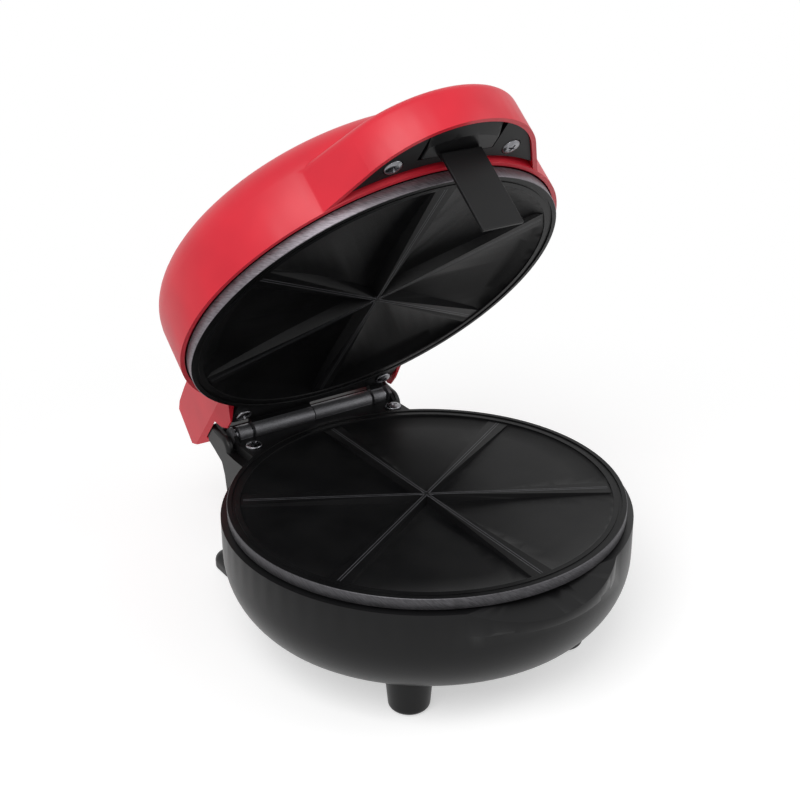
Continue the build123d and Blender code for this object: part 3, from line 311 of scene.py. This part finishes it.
def coated_aluminium(name, settings, upper):
    """Die-cast aluminium under a sprayed non-stick coating, its rim turned bare.

    It gives the eye a dull black with a pebbly sheen, a painted highlight along the rib edges,
    a grey rim with slanting tool marks, and rough cast metal on the hinge barrels. One shader
    holds coating and bare metal, so the coating's low index also applies to the metal.
    """
    material, tree, shader = new_material(name, ior=1.18)
    local = plate_place(tree, upper)
    axes = add_node(tree, "ShaderNodeSeparateXYZ", None, {0: local})
    x, y, z = axes.outputs[0], axes.outputs[1], axes.outputs[2]
    radius = hypotenuse(tree, x, y)
    angle = maths(tree, "ARCTAN2", y, x)
    ahead = maths(tree, "LESS_THAN", y, BAND_END)
    band = maths(tree, "MULTIPLY", ahead, maths(
        tree, "GREATER_THAN", radius, PLATE_RADIUS - settings.band))
    marks = turned_marks(tree, settings, angle, z)
    # Barrels: everything close to the hinge axis.
    behind = maths(tree, "SUBTRACT", y, HINGE.y - PLATE_CENTRE.y)
    above = maths(tree, "SUBTRACT", z, HINGE.z - PLATE_CENTRE.z)
    barrel = maths(tree, "LESS_THAN", hypotenuse(tree, behind, above), settings.barrel)
    ribs = maths(tree, "MULTIPLY", rib_lines(tree, settings, angle, radius), maths(
        tree, "LESS_THAN", radius, RIBS_END))
    grain = noise(tree, local, settings.cast_grain, detail=3.0, rough=0.6)
    worn = noise(tree, local, 30 * MM, detail=2.0)
    # Painted light and shade: the upper rim takes the lighter tone, the lower rim the darker
    rim = settings.lit_upper_rim if upper else settings.shaded_lower_rim
    rim_deep = scaled(rim, 0.35)
    cast_deep = scaled(settings.cast, 0.45)
    dusty = raised(settings.coating, 0.004)
    tone = blend_colour(tree, spread(tree, worn, 0.0, 1.0), settings.coating, dusty)
    # Painted highlight: light grey laid along both edges of each rib, broken up by the grain
    highlight_mask = maths(tree, "MULTIPLY", ribs, spread(tree, grain, 0.35, 1.0))
    tone = blend_colour(tree, highlight_mask, tone, settings.burnished)
    turned = blend_colour(tree, spread(tree, marks, 0.0, 1.0), rim_deep, rim)
    cast = blend_colour(tree, spread(tree, grain, 0.0, 1.0), cast_deep, settings.cast)
    tone = blend_colour(tree, band, tone, turned)
    coloured(tree, shader, barrel, tone, cast)
    bare = maths(tree, "MAXIMUM", band, barrel)
    tree.links.new(maths(tree, "MULTIPLY", bare, 0.8), shader.inputs["Metallic"])
    coat_rough = spread(tree, grain, 0.30, 0.44)
    bare_rough = spread(tree, marks, 0.40, 0.58)
    rough = add_node(tree, "ShaderNodeMix", None, {
        0: bare, 2: coat_rough, 3: bare_rough}).outputs[0]
    tree.links.new(rough, shader.inputs["Roughness"])
    relief = add_node(tree, "ShaderNodeMix", None, {
        0: band, 2: grain, 3: maths(tree, "MULTIPLY", marks, 2.0)}).outputs[0]
    bumped(tree, shader, relief, 0.03 * MM)
    return material


def smooth_metal(name, base, roughness=0.26):
    """Smooth metal, plated, drawn or pressed: clear gloss in its own tone, faintly clouded."""
    material, tree, shader = new_material(name, metallic=1.0, roughness=roughness)
    place = object_coordinates(tree)
    cloud = noise(tree, place, 2.5 * MM, detail=3.0)
    coloured(tree, shader, spread(tree, cloud, 0.0, 1.0), base, scaled(base, 0.72))
    roughened(tree, shader, cloud, roughness - 0.06, roughness + 0.10)
    bumped(tree, shader, noise(tree, place, 0.4 * MM), 0.01 * MM)
    return material


def rolled_sheet(name, base):
    """Aluminised steel sheet, pressed: soft grey with long rolling lines."""
    material, tree, shader = new_material(name, metallic=1.0, roughness=0.38)
    place = object_coordinates(tree)
    stretched = add_node(tree, "ShaderNodeVectorMath", {"operation": "MULTIPLY"}, {
        0: place, 1: (1.0, 0.04, 1.0)}).outputs[0]
    lines = noise(tree, stretched, 0.8 * MM, detail=3.0)
    coloured(tree, shader, spread(tree, lines, 0.0, 1.0), base, scaled(base, 0.75))
    roughened(tree, shader, lines, 0.32, 0.46)
    return material


def moulded_rubber(name, code):
    """Nitrile rubber, moulded: matt and slightly dusty, with no clear reflection."""
    material, tree, shader = new_material(name, roughness=0.78, ior=1.52)
    place = object_coordinates(tree)
    dust = noise(tree, place, 4 * MM, detail=4.0)
    base = linear(code)
    coloured(tree, shader, spread(tree, dust, 0.0, 1.0), base, raised(base, 0.012))
    bumped(tree, shader, noise(tree, place, 0.5 * MM), 0.02 * MM)
    return material


def fired_ceramic(name, code):
    """Steatite, pressed and fired unglazed: chalky off-white with fine pits."""
    material, tree, shader = new_material(name, roughness=0.62, ior=1.6)
    place = object_coordinates(tree)
    pits = noise(tree, place, 0.7 * MM, detail=4.0)
    base = linear(code)
    coloured(tree, shader, spread(tree, pits, 0.0, 1.0), base, scaled(base, 0.86))
    bumped(tree, shader, pits, 0.04 * MM)
    return material


def woven_sleeve(name, code):
    """Braided glass or silicone sleeve: pale, with a fine crossed weave of 0.8 mm."""
    material, tree, shader = new_material(name, roughness=0.6, ior=1.45)
    place = object_coordinates(tree)
    weave = add_node(tree, "ShaderNodeTexWave", {"bands_direction": "DIAGONAL"}, {
        "Vector": place, "Scale": 1.0 / (0.8 * MM) / math.tau, "Distortion": 1.0}).outputs[1]
    base = linear(code)
    coloured(tree, shader, weave, base, scaled(base, 0.7))
    bumped(tree, shader, weave, 0.05 * MM)
    return material


def lamp_lens(name, base):
    """Tinted polycarbonate lens, moulded with a polished top: deep colour, clear gloss."""
    material, tree, shader = new_material(name, base=base, roughness=0.12, ior=1.58)
    shader.inputs["Transmission Weight"].default_value = 0.35
    place = object_coordinates(tree)
    prisms = noise(tree, place, 1.2 * MM, detail=0.0)
    coloured(tree, shader, spread(tree, prisms, 0.0, 1.0), base, scaled(base, 0.6))
    return material


# ---------------------------------------------------------------------- mesh helpers

def dress(node, material, edge=0.0, angle=35.0):
    """Give a CAD node its finish and, with edge, round its sharp edges a little."""
    piece = frame["nodes"][node]
    piece.data.materials.clear()
    piece.data.materials.append(material)
    if edge > 0.0:
        weld = piece.modifiers.new("join_seams", "WELD")
        weld.merge_threshold = 0.005 * MM
        rounding = piece.modifiers.new("round_edges", "BEVEL")
        rounding.width = edge
        rounding.segments = 2
        rounding.limit_method = "ANGLE"
        rounding.angle_limit = math.radians(angle)
        rounding.miter_outer = "MITER_ARC"
        rounding.use_clamp_overlap = True
        rounding.harden_normals = True
    return piece


def islands(node):
    """Points of each separate solid in a CAD node, in the mesh's own order."""
    mesh = frame["nodes"][node].data
    shape = bmesh.new()
    shape.from_mesh(mesh)
    bmesh.ops.remove_doubles(shape, verts=shape.verts, dist=0.002 * MM)
    left = set(shape.verts)
    found = []
    for start in shape.verts:
        if start not in left:
            continue
        left.discard(start)
        stack = [start]
        points = []
        while stack:
            vertex = stack.pop()
            points.append(vertex.co.copy())
            for edge in vertex.link_edges:
                other = edge.other_vert(vertex)
                if other in left:
                    left.discard(other)
                    stack.append(other)
        found.append(points)
    shape.free()
    return found


def screw_axis(points, direction):
    """Seat, outward direction, head radius, head height and shank of one CAD screw."""
    along = [point.dot(direction) for point in points]
    low, high = min(along), max(along)
    middle = sum(points, Vector()) / len(points)
    centre = middle - direction * middle.dot(direction)
    far = {}
    for point, where in zip(points, along):
        far.setdefault(round(where / (0.05 * MM)), []).append(
            (point - direction * where - centre).length)
    widest = max(max(sizes) for sizes in far.values())
    wide = [key * 0.05 * MM for key, sizes in far.items() if max(sizes) > 0.95 * widest]
    outward = direction if high - max(wide) < min(wide) - low else -direction
    seat_at = min(wide) if outward == direction else max(wide)
    top_at = high if outward == direction else low
    shank_at = low if outward == direction else high
    seat = centre + direction * seat_at
    return seat, outward, widest, abs(top_at - seat_at), abs(shank_at - seat_at)


def turned_mesh(profile, segments):
    """Mesh turned about Z from (radius, height) pairs; the ends may lie on the axis."""
    shape = bmesh.new()
    rings = []
    for radius, height in profile:
        if radius < 1e-7:
            rings.append([shape.verts.new((0.0, 0.0, height))])
            continue
        ring = []
        for index in range(segments):
            angle = math.tau * index / segments
            place = (radius * math.cos(angle), radius * math.sin(angle), height)
            ring.append(shape.verts.new(place))
        rings.append(ring)
    for lower, upper in zip(rings, rings[1:]):
        for index in range(segments):
            after = (index + 1) % segments
            if len(lower) == 1:
                shape.faces.new((lower[0], upper[index], upper[after]))
            elif len(upper) == 1:
                shape.faces.new((lower[index], lower[after], upper[0]))
            else:
                shape.faces.new((lower[index], lower[after], upper[after], upper[index]))
    bmesh.ops.recalc_face_normals(shape, faces=shape.faces)
    return shape


def mesh_object(name, shape):
    mesh = bpy.data.meshes.new(name)
    shape.to_mesh(mesh)
    shape.free()
    piece = bpy.data.objects.new(name, mesh)
    bpy.context.scene.collection.objects.link(piece)
    return piece


def cross_recess(radius, depth):
    """Tapered plus-shaped cutter of a cross-head driver, point down."""
    shape = bmesh.new()
    rings = []
    for reach, wing, height in ((0.64, 0.13, 0.6 * depth), (0.30, 0.07, -depth)):
        corners = []
        for quarter in range(4):
            turn = Matrix.Rotation(quarter * math.pi / 2, 2)
            for x, y in ((reach, -wing), (reach, wing), (wing, wing)):
                place = turn @ Vector((x * radius, y * radius))
                corners.append(shape.verts.new((place.x, place.y, height)))
        rings.append(corners)
    above, below = rings
    shape.faces.new(above)
    shape.faces.new(below[::-1])
    for index in range(len(above)):
        after = (index + 1) % len(above)
        shape.faces.new((above[after], above[index], below[index], below[after]))
    bmesh.ops.recalc_face_normals(shape, faces=shape.faces)
    return shape


def pan_head(radius, height, shank, segments):
    """Pan-head screw with its cross recess, seat at the origin and head along +Z."""
    stem = 0.38 * radius
    profile = [(0.0, -shank), (0.7 * stem, -shank), (stem, -shank + 0.4 * stem), (stem, 0.0),
               (0.97 * radius, 0.0), (radius, 0.06 * height), (radius, 0.30 * height)]
    for step in range(1, 9):
        lean = step / 8 * math.pi / 2
        reach = radius * math.cos(lean) ** 0.62
        profile.append((reach, height * (0.30 + 0.70 * math.sin(lean) ** 0.9)))
    profile[-1] = (0.0, height)
    head = mesh_object("screw_blank", turned_mesh(profile, segments))
    cutter = mesh_object("driver_cross", cross_recess(radius, 0.75 * height))
    cutter.location.z = height
    cut = head.modifiers.new("recess", "BOOLEAN")
    cut.operation = "DIFFERENCE"
    cut.solver = "EXACT"
    cut.object = cutter
    depsgraph = bpy.context.evaluated_depsgraph_get()
    mesh = bpy.data.meshes.new_from_object(head.evaluated_get(depsgraph))
    bpy.data.objects.remove(head)
    bpy.data.objects.remove(cutter)
    return mesh


def screw_set(name, node, body, direction, material):
    """Detailed screws in place of the plain ones of a CAD node."""
    joined = bmesh.new()
    settings = bpy.context.scene.fitting_settings
    cached = {}
    for number, points in enumerate(islands(node)):
        seat, outward, radius, height, shank = screw_axis(points, direction)
        key = (round(radius, 5), round(height, 5), round(shank, 4))
        if key not in cached:
            cached[key] = pan_head(radius, height, shank, settings.head_segments)
        turn = Matrix.Rotation(math.radians(25.0 + 47.0 * number), 4, "Z")
        stand = outward.to_track_quat("Z", "Y").to_matrix().to_4x4()
        mesh = cached[key].copy()
        mesh.transform(Matrix.Translation(seat) @ stand @ turn)
        joined.from_mesh(mesh)
        bpy.data.meshes.remove(mesh)
    piece = mesh_object(name, joined)
    for mesh in cached.values():
        bpy.data.meshes.remove(mesh)
    smooth(piece, 32.0)
    piece.data.materials.append(material)
    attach(piece, body)
    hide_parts(node)
    return piece


def smooth(piece, angle):
    """Smooth shading, kept sharp above an angle in degrees."""
    mesh = piece.data
    mesh.shade_smooth()
    mesh.set_sharp_from_angle(angle=math.radians(angle))


def lid_direction():
    """Up along the plate's axis, in the open lid."""
    return Matrix.Rotation(-LID_ANGLE, 3, "X") @ Vector((0.0, 0.0, 1.0))


# ------------------------------------------------------------------------- operators

class QUESADILLA_OT_lid(bpy.types.Operator):
    """Red moulded lid housing with its handle visor"""
    bl_idname = "quesadilla.lid"
    bl_label = "Lid housing"

    def execute(self, context):
        settings = context.scene.moulding_settings
        red = satin_abs(
            "red_satin_abs", settings.lid, settings.lid_deep, settings, roughness=0.42, ior=1.45)
        dress("lid_housing", red, settings.edge)
        return {"FINISHED"}


class QUESADILLA_OT_base(bpy.types.Operator):
    """Black moulded bowl, its cover and its feet"""
    bl_idname = "quesadilla.base"
    bl_label = "Base housing and feet"

    def execute(self, context):
        settings = context.scene.moulding_settings
        deep = scaled(settings.base, 0.8)
        black = satin_abs(
            "black_satin_abs", settings.base, deep, settings, roughness=0.36, ior=1.30)
        for node in ("base_housing", "base_bottom_cover", "front_left_foot", "front_right_foot",
                     "rear_left_foot", "rear_right_foot"):
            dress(node, black, settings.edge)
        rubber = moulded_rubber("black_nitrile_rubber", "#1D1D1E")
        dress("foot_pads", rubber)
        dress("cord_gland", rubber, 0.3 * MM)
        return {"FINISHED"}


class QUESADILLA_OT_plates(bpy.types.Operator):
    """Upper and lower cooking plates"""
    bl_idname = "quesadilla.plates"
    bl_label = "Cooking plates"

    def execute(self, context):
        settings = context.scene.casting_settings
        for half in ("lower", "upper"):
            finish = coated_aluminium("coated_aluminium_" + half, settings, half == "upper")
            dress(half + "_plate", finish, 0.35 * MM)
        return {"FINISHED"}


class QUESADILLA_OT_handle(bpy.types.Operator):
    """Insert under the visor, with the strap latch, its pin and its spring"""
    bl_idname = "quesadilla.handle"
    bl_label = "Handle insert and latch"

    def execute(self, context):
        settings = context.scene.moulding_settings
        deep = scaled(settings.base, 0.8)
        insert = satin_abs(
            "black_grained_abs", settings.base, deep, settings, roughness=0.45, ior=1.24)
        latch = satin_abs(
            "black_smooth_abs", settings.base, deep, settings, roughness=0.38, ior=1.30)
        plating = smooth_metal("zinc_plated_pin", context.scene.fitting_settings.plating)
        dress("handle_insert", insert, 0.4 * MM)
        dress("latch", latch, 0.5 * MM)
        dress("latch_pin", plating)
        dress("latch_spring", plating)
        return {"FINISHED"}


class QUESADILLA_OT_screws(bpy.types.Operator):
    """Cross-head screws of the hinge flanges, handle, pans, cover and feet"""
    bl_idname = "quesadilla.screws"
    bl_label = "Screws and hinge pin"

    def execute(self, context):
        plating = smooth_metal("zinc_plated_steel", context.scene.fitting_settings.plating)
        up, out = Vector((0.0, 0.0, 1.0)), lid_direction()
        for name, node, body, direction in (
                ("lower_flange_screws", "lower_plate_screws", "base", up),
                ("upper_flange_screws", "upper_plate_screws", "lid", out),
                ("insert_screws", "handle_screws", "lid", out),
                ("cover_screws", "bottom_cover_screws", "base", up),
                ("leg_screws", "foot_screws", "base", up),
                ("lower_reflector_screws", "lower_pan_screws", "base", up),
                ("upper_reflector_screws", "upper_pan_screws", "lid", out)):
            screw_set(name, node, body, direction, plating)
        dress("hinge_pin", plating, 0.2 * MM)
        return {"FINISHED"}


class QUESADILLA_OT_heating(bpy.types.Operator):
    """Heaters, reflector pans, thermostats, fuses and wiring inside both halves"""
    bl_idname = "quesadilla.heating"
    bl_label = "Heating parts"

    def execute(self, context):
        settings = context.scene.fitting_settings
        sheath = smooth_metal("heat_tinted_steel", settings.sheath, 0.42)
        sheet = rolled_sheet("aluminised_sheet", settings.reflector)
        cup = smooth_metal("pressed_brass", linear("#B59A5A"), 0.3)
        sleeve = woven_sleeve("woven_glass_sleeve", "#DEDACB")
        ceramic = fired_ceramic("unglazed_steatite", "#E4DFD2")
        for half in ("lower", "upper"):
            dress(half + "_heating_element", sheath)
            dress(half + "_heat_pan", sheet)
            dress(half + "_thermostat", cup)
            dress(half + "_thermal_fuse", sleeve)
        dress("terminal_block", ceramic, 0.3 * MM)
        dress("base_leads", sleeve)
        return {"FINISHED"}


class QUESADILLA_OT_lamps(bpy.types.Operator):
    """Pilot lamps on top of the lid"""
    bl_idname = "quesadilla.lamps"
    bl_label = "Pilot lamps"

    def execute(self, context):
        settings = context.scene.fitting_settings
        dress("power_lamp", lamp_lens("red_polycarbonate", settings.power_lens))
        dress("ready_lamp", lamp_lens("green_polycarbonate", settings.ready_lens))
        return {"FINISHED"}


class QUESADILLA_OT_stage(bpy.types.Operator):
    """Floor, surroundings, soft lights and the camera"""
    bl_idname = "quesadilla.stage"
    bl_label = "Stage"

    def execute(self, context):
        settings = context.scene.stage_settings
        make_floor(settings)
        make_surroundings(context.scene, settings)
        add_light("key_light", settings.key_power, 0.9, (-0.75, -0.55, 1.05))
        add_light("fill_light", settings.fill_power, 0.8, (0.95, -0.75, 0.75))
        make_camera(context.scene, settings)
        context.scene.view_settings.view_transform = "Standard"
        return {"FINISHED"}


def seen_directly(tree):
    """1 for what the camera sees, also in a reflection or through a lens."""
    path = add_node(tree, "ShaderNodeLightPath")
    return maths(tree, "MAXIMUM", path.outputs["Is Camera Ray"], maths(
        tree, "MAXIMUM", path.outputs["Is Glossy Ray"], path.outputs["Is Transmission Ray"]))


def make_floor(settings):
    """Pale matt floor that is plain white to the camera but keeps the object's shadow."""
    shape = bmesh.new()
    bmesh.ops.create_circle(shape, cap_ends=True, segments=64, radius=4.0)
    floor = mesh_object("floor", shape)
    material, tree, shader = new_material("matt_white_paper", roughness=0.9)
    place = object_coordinates(tree)
    fibres = noise(tree, place, 3 * MM, detail=3.0)
    paler = scaled(settings.floor, 1.01)
    coloured(tree, shader, spread(tree, fibres, 0.0, 1.0), settings.floor, paler)
    shader.inputs["Specular IOR Level"].default_value = 0.0
    seen = seen_directly(tree)
    glow_strength = maths(tree, "MULTIPLY", seen, settings.floor_glow)
    glow = add_node(tree, "ShaderNodeEmission", None, {"Color": WHITE, "Strength": glow_strength})
    near = add_node(tree, "ShaderNodeAddShader", None, {0: shader.outputs[0], 1: glow.outputs[0]})
    plain = add_node(tree, "ShaderNodeEmission", None, {"Color": WHITE, "Strength": 1.0})
    away = add_node(tree, "ShaderNodeVectorMath", {"operation": "LENGTH"}, {
        0: place}).outputs["Value"]
    past = add_node(tree, "ShaderNodeMapRange", {"interpolation_type": "SMOOTHSTEP"}, {
        0: away, 1: settings.clear_from, 2: 1.8 * settings.clear_from}).outputs[0]
    both = add_node(tree, "ShaderNodeMixShader", None, {
        0: maths(tree, "MULTIPLY", seen, past), 1: near.outputs[0], 2: plain.outputs[0]})
    output = next(node for node in tree.nodes if node.type == "OUTPUT_MATERIAL")
    tree.links.new(both.outputs[0], output.inputs[0])
    floor.data.materials.append(material)


def make_surroundings(scene, settings):
    """Even pale light, and plain white where the camera sees past the floor."""
    world = bpy.data.worlds.new("pale_room")
    scene.world = world
    world.use_nodes = True
    tree = world.node_tree
    tree.nodes.clear()
    strength = add_node(tree, "ShaderNodeMix", None, {
        0: seen_directly(tree), 2: settings.world_strength, 3: 1.0}).outputs[0]
    back = add_node(tree, "ShaderNodeBackground", None, {
        "Color": WHITE, "Strength": strength})
    add_node(tree, "ShaderNodeOutputWorld", None, {"Surface": back.outputs[0]})


def add_light(name, power, size, place):
    """Large square soft light aimed at the plates."""
    data = bpy.data.lights.new(name, "AREA")
    data.shape = "SQUARE"
    data.size = size
    data.energy = power
    light = bpy.data.objects.new(name, data)
    light.location = PLATE_CENTRE + Vector(place)
    light.rotation_euler = (-Vector(place)).to_track_quat("-Z", "Y").to_euler()
    bpy.context.scene.collection.objects.link(light)


def make_camera(scene, settings):
    """Camera at the photograph's viewing angle, with its framing."""
    azimuth, elevation = settings.azimuth, settings.elevation
    back = Vector((math.sin(azimuth) * math.cos(elevation),
                   -math.cos(azimuth) * math.cos(elevation), math.sin(elevation)))
    right = Vector((math.cos(azimuth), math.sin(azimuth), 0.0))
    up = back.cross(right)
    turn = settings.roll
    right, up = (math.cos(turn) * right + math.sin(turn) * up,
                 math.cos(turn) * up - math.sin(turn) * right)
    data = bpy.data.cameras.new("camera")
    data.sensor_width = 36.0
    data.lens = settings.lens
    data.clip_start = 0.01
    camera = bpy.data.objects.new("camera", data)
    place = PLATE_CENTRE + back * settings.distance - right * settings.side + up * settings.lift
    facing = Matrix((right, up, back)).transposed().to_4x4()
    camera.matrix_world = Matrix.Translation(place) @ facing
    scene.collection.objects.link(camera)
    scene.camera = camera


# ---------------------------------------------------------------------------- add-on

STEPS = ("lid", "base", "plates", "handle", "screws", "heating", "lamps", "stage")


class QUESADILLA_PT_panel(bpy.types.Panel):
    """Steps and settings of the quesadilla maker"""
    bl_idname = "QUESADILLA_PT_panel"
    bl_label = "Quesadilla maker"
    bl_space_type = "VIEW_3D"
    bl_region_type = "UI"
    bl_category = "Quesadilla Maker"

    def draw(self, context):
        layout = self.layout
        for step in STEPS:
            layout.operator("quesadilla." + step)
        for name in SETTINGS:
            group = getattr(context.scene, name)
            box = layout.box()
            for key in group.bl_rna.properties.keys():
                if key not in {"rna_type", "name"}:
                    box.prop(group, key)


SETTINGS = {
    "moulding_settings": MouldingSettings,
    "casting_settings": CastingSettings,
    "fitting_settings": FittingSettings,
    "stage_settings": StageSettings,
}

CLASSES = (
    MouldingSettings, CastingSettings, FittingSettings, StageSettings,
    QUESADILLA_OT_lid, QUESADILLA_OT_base, QUESADILLA_OT_plates, QUESADILLA_OT_handle,
    QUESADILLA_OT_screws, QUESADILLA_OT_heating, QUESADILLA_OT_lamps, QUESADILLA_OT_stage,
    QUESADILLA_PT_panel)


def register():
    for cls in CLASSES:
        bpy.utils.register_class(cls)
    for name, group in SETTINGS.items():
        setattr(bpy.types.Scene, name, PointerProperty(type=group))


def unregister():
    for name in SETTINGS:
        delattr(bpy.types.Scene, name)
    for cls in reversed(CLASSES):
        bpy.utils.unregister_class(cls)


def main():
    register()
    bpy.ops.quesadilla.lid()
    bpy.ops.quesadilla.base()
    bpy.ops.quesadilla.plates()
    bpy.ops.quesadilla.handle()
    bpy.ops.quesadilla.screws()
    bpy.ops.quesadilla.heating()
    bpy.ops.quesadilla.lamps()
    bpy.ops.quesadilla.stage()


if __name__ == "__main__":
    main()
